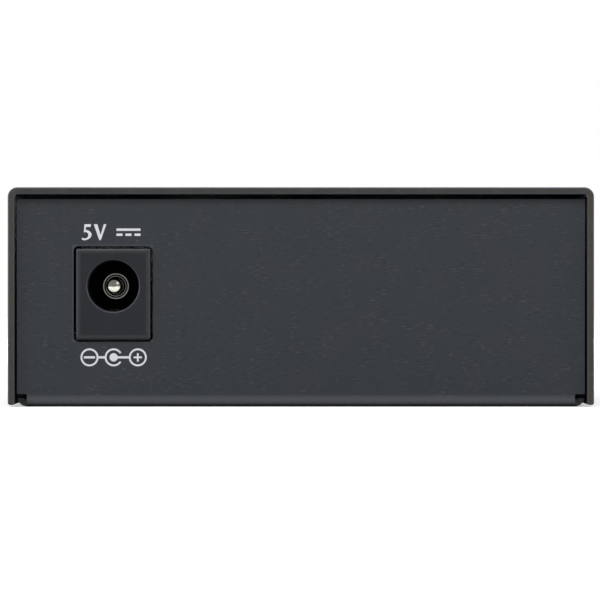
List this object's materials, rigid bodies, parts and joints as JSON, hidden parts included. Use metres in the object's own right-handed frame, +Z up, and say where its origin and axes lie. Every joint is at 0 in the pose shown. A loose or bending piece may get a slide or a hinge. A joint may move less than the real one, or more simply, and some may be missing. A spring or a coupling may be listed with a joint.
{
  "type": "fibre media converter",
  "caption": "Small folded steel box that joins a copper network port to a duplex optical fibre port, with a round power socket in its rear panel.",
  "frame": {"origin": "centre of the underside, midway between the cover's sides and ends", "axes": "+Z up, +Y out of the rear panel with the power socket, -Y out of the front panel with the network ports, +X to the right seen from the front"},
  "size_m": [0.0706, 0.094, 0.0264],
  "materials": {
    "case_paint": "fine powder coat, satin",
    "screw_black": "black zinc",
    "zinc_plate": "zinc plated",
    "board_green": "solder mask",
    "socket_black": "moulded, fine grain",
    "pin_nickel": "nickel plated",
    "tin_plate": "tin plated",
    "shield_nickel": "nickel plated sheet",
    "insert_black": "moulded",
    "contact_gold": "gold plated",
    "optic_black": "moulded",
    "barrel_steel": "turned",
    "sleeve_ceramic": "polished",
    "clip_plastic": "moulded",
    "guide_clear": "clear moulding",
    "led_white": "cast resin",
    "chip_black": "moulded resin",
    "can_steel": "drawn can",
    "can_aluminium": "drawn can",
    "ferrite_grey": "sintered"
  },
  "bodies": {
    "root": {"top_cover": "case_paint", "base_tray": "case_paint", "cover_screws": "screw_black", "board_standoffs": "zinc_plate", "board_screws": "zinc_plate", "circuit_board": "board_green", "power_jack_housing": "socket_black", "power_jack_pin": "pin_nickel", "power_jack_blade": "tin_plate", "power_jack_spring": "pin_nickel", "power_jack_switch": "tin_plate", "rj45_shield": "shield_nickel", "rj45_housing": "insert_black", "rj45_contacts": "contact_gold", "transceiver_housing": "optic_black", "transmit_barrel": "barrel_steel", "receive_barrel": "barrel_steel", "alignment_sleeves": "sleeve_ceramic", "latch_clips": "clip_plastic", "transceiver_board": "board_green", "transceiver_pins": "tin_plate", "light_guide": "guide_clear", "status_leds": "led_white", "line_transformer": "chip_black", "converter_chip": "chip_black", "memory_chip": "chip_black", "crystal": "can_steel", "bulk_capacitors": "can_aluminium", "power_inductor": "ferrite_grey", "voltage_regulator": "chip_black", "chip_parts": "ferrite_grey"}
  },
  "joints": []
}
